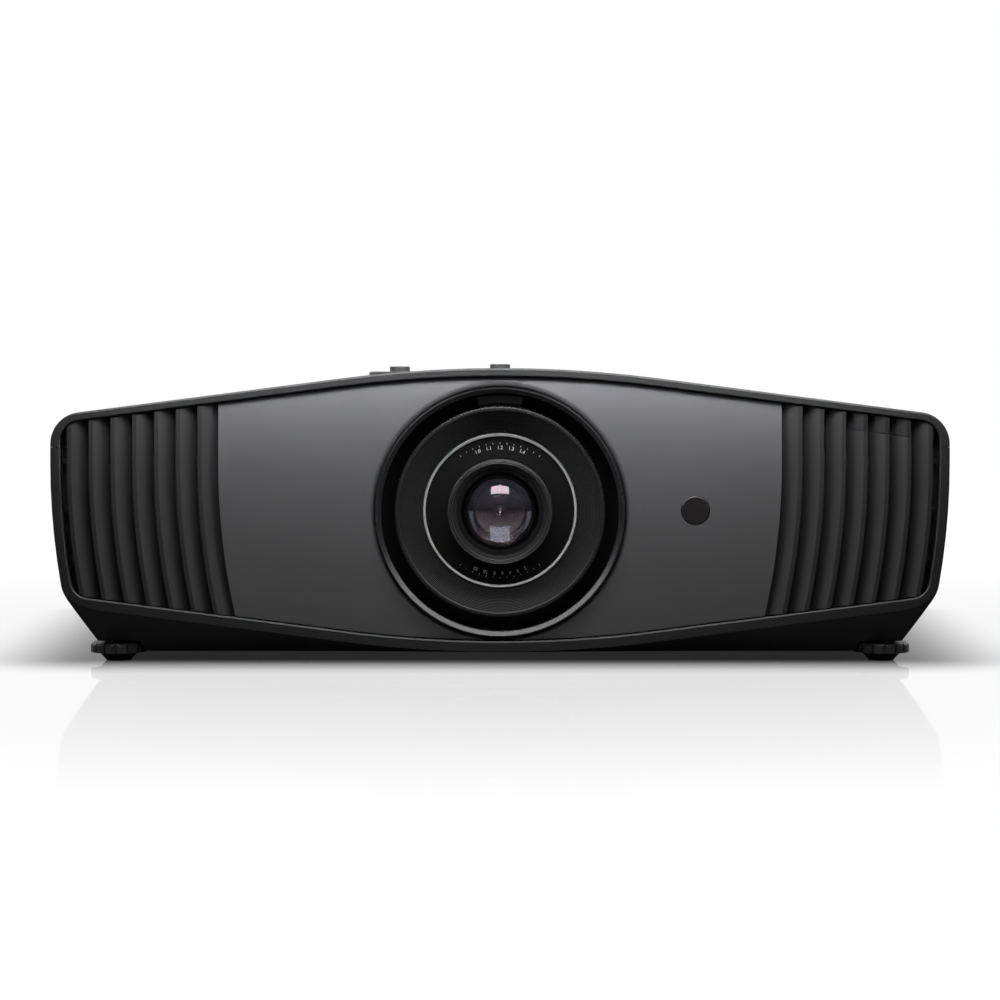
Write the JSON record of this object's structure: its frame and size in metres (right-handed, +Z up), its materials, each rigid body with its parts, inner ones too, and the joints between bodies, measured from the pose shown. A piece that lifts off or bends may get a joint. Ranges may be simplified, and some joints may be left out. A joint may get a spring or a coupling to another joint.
{
  "type": "home projector",
  "caption": "Wide home projector with an arched case, framed front with vertical louvres, centre lens with focus and zoom rings, lens shift knobs and screw feet.",
  "frame": {"origin": "on the floor under the middle of the case", "axes": "+X to the right seen from the front, +Y to the rear (the beam leaves along -Y), +Z up"},
  "size_m": [0.4934, 0.3494, 0.1635],
  "materials": {
    "case_dark": "satin",
    "panel_grey": "satin",
    "louver_black": "satin",
    "grille_black": "matte",
    "lens_black": "satin",
    "lens_rim": "satin",
    "silver_trim": "polished",
    "coated_glass": "polished",
    "ir_filter": "polished",
    "status_smoke": "polished",
    "knob_black": "satin",
    "gloss_black": "polished",
    "foot_plastic": "satin",
    "rubber_black": "matte",
    "steel": "brushed",
    "connector_metal": "satin",
    "inlet_black": "matte",
    "brass_insert": "satin",
    "board_green": "satin",
    "cast_alloy": "cast",
    "fan_black": "matte",
    "key_grey": "satin",
    "wheel_glass": "polished",
    "lamp_house": "matte"
  },
  "bodies": {
    "case": {"top_cover": "case_dark", "bottom_case": "case_dark", "mount_inserts": "brass_insert", "front_panel": "panel_grey", "ir_window": "ir_filter", "left_louver": "louver_black", "right_louver": "louver_black", "status_windows": "status_smoke", "side_grille_left": "grille_black", "side_grille_right": "grille_black", "lens_bezel": "lens_rim", "shift_base": "steel", "shift_bezel": "knob_black", "intake_fan_frame": "fan_black", "exhaust_fan_frame": "fan_black", "rear_panel": "grille_black", "hdmi_sockets": "connector_metal", "usb_socket": "connector_metal", "lan_socket": "connector_metal", "serial_socket": "connector_metal", "audio_jacks": "inlet_black", "ac_inlet": "inlet_black", "keypad_bezel": "case_dark", "main_board": "board_green", "lamp_cover": "case_dark", "lamp_module": "lamp_house", "light_engine": "cast_alloy", "power_supply": "steel"},
    "vertical_carriage_body": {"vertical_carriage": "cast_alloy"},
    "lens_body": {"horizontal_carriage": "lens_black", "lens_barrel": "lens_black", "trim_ring": "silver_trim", "name_ring": "lens_black"},
    "focus_ring_body": {"focus_ring": "lens_black"},
    "focus_group": {"front_barrel": "lens_black", "retaining_ring": "lens_black", "front_element": "coated_glass"},
    "zoom_ring_body": {"zoom_ring": "gloss_black"},
    "zoom_group": {"zoom_carrier": "lens_black", "zoom_element": "coated_glass"},
    "horizontal_knob": {"horizontal_shift_knob": "knob_black"},
    "vertical_knob": {"vertical_shift_knob": "knob_black"},
    "intake_rotor": {"intake_fan_rotor": "fan_black"},
    "exhaust_rotor": {"exhaust_fan_rotor": "fan_black"},
    "colour_wheel_body": {"colour_wheel": "wheel_glass"},
    "power_button": {"power_key": "key_grey"},
    "source_button": {"source_key": "key_grey"},
    "menu_button": {"menu_key": "key_grey"},
    "back_button": {"back_key": "key_grey"},
    "navigation_button": {"navigation_ring": "key_grey"},
    "enter_button": {"enter_key": "key_grey"},
    "pad_front_right": {"foot_pad_front_right": "rubber_black"},
    "disc_front_right": {"foot_disc_front_right": "foot_plastic"},
    "pad_front_left": {"foot_pad_front_left": "rubber_black"},
    "disc_front_left": {"foot_disc_front_left": "foot_plastic"},
    "pad_rear_right": {"foot_pad_rear_right": "rubber_black"},
    "disc_rear_right": {"foot_disc_rear_right": "foot_plastic"},
    "pad_rear_left": {"foot_pad_rear_left": "rubber_black"},
    "disc_rear_left": {"foot_disc_rear_left": "foot_plastic"}
  },
  "joints": [
    {"name": "vertical_shift", "type": "slide", "parent": "case", "child": "vertical_carriage_body", "axis": [0, 0, 1], "range_m": [-0.0035, 0.0035]},
    {"name": "horizontal_shift", "type": "slide", "parent": "vertical_carriage_body", "child": "lens_body", "axis": [1, 0, 0], "range_m": [-0.0024, 0.0024]},
    {"name": "vertical_knob_turn", "type": "hinge", "parent": "case", "child": "vertical_knob", "pos_m": [0, -0.1187, 0.163], "axis": [0, 0, 1], "range_deg": [-720, 720]},
    {"name": "horizontal_knob_turn", "type": "hinge", "parent": "case", "child": "horizontal_knob", "pos_m": [-0.0566, -0.1187, 0.16], "axis": [0, 0, 1], "range_deg": [-41, 41]},
    {"name": "focus_turn", "type": "hinge", "parent": "lens_body", "child": "focus_ring_body", "pos_m": [0, -0.1747, 0.0826], "axis": [0, 1, 0], "range_deg": [-60, 60]},
    {"name": "focus_travel", "type": "slide", "parent": "lens_body", "child": "focus_group", "axis": [0, 1, 0], "range_m": [-0.0012, 0.0012]},
    {"name": "zoom_turn", "type": "hinge", "parent": "lens_body", "child": "zoom_ring_body", "pos_m": [0, -0.1747, 0.0826], "axis": [0, 1, 0], "range_deg": [-18, 18]},
    {"name": "zoom_travel", "type": "slide", "parent": "lens_body", "child": "zoom_group", "axis": [0, 1, 0], "range_m": [-0.004, 0.004]},
    {"name": "intake_fan_spin", "type": "hinge", "parent": "case", "child": "intake_rotor", "pos_m": [-0.222, -0.0287, 0.078], "axis": [1, 0, 0], "continuous": true},
    {"name": "exhaust_fan_spin", "type": "hinge", "parent": "case", "child": "exhaust_rotor", "pos_m": [0.222, -0.0287, 0.078], "axis": [1, 0, 0], "continuous": true},
    {"name": "colour_wheel_spin", "type": "hinge", "parent": "case", "child": "colour_wheel_body", "pos_m": [0.0514, -0.0027, 0.106], "axis": [1, 0, 0], "continuous": true},
    {"name": "power_press", "type": "slide", "parent": "case", "child": "power_button", "axis": [0, -1, 0], "range_m": [0, 0.0008], "stiffness_N_per_m": 400},
    {"name": "source_press", "type": "slide", "parent": "case", "child": "source_button", "axis": [0, -1, 0], "range_m": [0, 0.0008], "stiffness_N_per_m": 400},
    {"name": "menu_press", "type": "slide", "parent": "case", "child": "menu_button", "axis": [0, -1, 0], "range_m": [0, 0.0008], "stiffness_N_per_m": 400},
    {"name": "back_press", "type": "slide", "parent": "case", "child": "back_button", "axis": [0, -1, 0], "range_m": [0, 0.0008], "stiffness_N_per_m": 400},
    {"name": "navigation_press", "type": "slide", "parent": "case", "child": "navigation_button", "axis": [0, -1, 0], "range_m": [0, 0.0008], "stiffness_N_per_m": 400},
    {"name": "enter_press", "type": "slide", "parent": "case", "child": "enter_button", "axis": [0, -1, 0], "range_m": [0, 0.0008], "stiffness_N_per_m": 400},
    {"name": "foot_height_front_right", "type": "slide", "parent": "case", "child": "pad_front_right", "axis": [0, 0, -1], "range_m": [0, 0.015]},
    {"name": "foot_turn_front_right", "type": "hinge", "parent": "pad_front_right", "child": "disc_front_right", "pos_m": [0.211, -0.1542, 0.007], "axis": [0, 0, 1], "range_deg": [-2705, 5]},
    {"name": "foot_height_front_left", "type": "slide", "parent": "case", "child": "pad_front_left", "axis": [0, 0, -1], "range_m": [0, 0.015]},
    {"name": "foot_turn_front_left", "type": "hinge", "parent": "pad_front_left", "child": "disc_front_left", "pos_m": [-0.211, -0.1542, 0.007], "axis": [0, 0, 1], "range_deg": [-2705, 5]},
    {"name": "foot_height_rear_right", "type": "slide", "parent": "case", "child": "pad_rear_right", "axis": [0, 0, -1], "range_m": [0, 0.015]},
    {"name": "foot_turn_rear_right", "type": "hinge", "parent": "pad_rear_right", "child": "disc_rear_right", "pos_m": [0.211, 0.1473, 0.007], "axis": [0, 0, 1], "range_deg": [-2705, 5]},
    {"name": "foot_height_rear_left", "type": "slide", "parent": "case", "child": "pad_rear_left", "axis": [0, 0, -1], "range_m": [0, 0.015]},
    {"name": "foot_turn_rear_left", "type": "hinge", "parent": "pad_rear_left", "child": "disc_rear_left", "pos_m": [-0.211, 0.1473, 0.007], "axis": [0, 0, 1], "range_deg": [-2705, 5]}
  ],
  "couplings": [
    {"joint": "vertical_knob_turn", "follows": "vertical_shift", "rad_per_m": 3590.4},
    {"joint": "horizontal_knob_turn", "follows": "horizontal_shift", "rad_per_m": 294.12},
    {"joint": "focus_travel", "follows": "focus_turn", "m_per_rad": 0.0011365},
    {"joint": "zoom_travel", "follows": "zoom_turn", "m_per_rad": 0.012592},
    {"joint": "foot_turn_front_right", "follows": "foot_height_front_right", "rad_per_m": -3141.6},
    {"joint": "foot_turn_front_left", "follows": "foot_height_front_left", "rad_per_m": -3141.6},
    {"joint": "foot_turn_rear_right", "follows": "foot_height_rear_right", "rad_per_m": -3141.6},
    {"joint": "foot_turn_rear_left", "follows": "foot_height_rear_left", "rad_per_m": -3141.6}
  ]
}
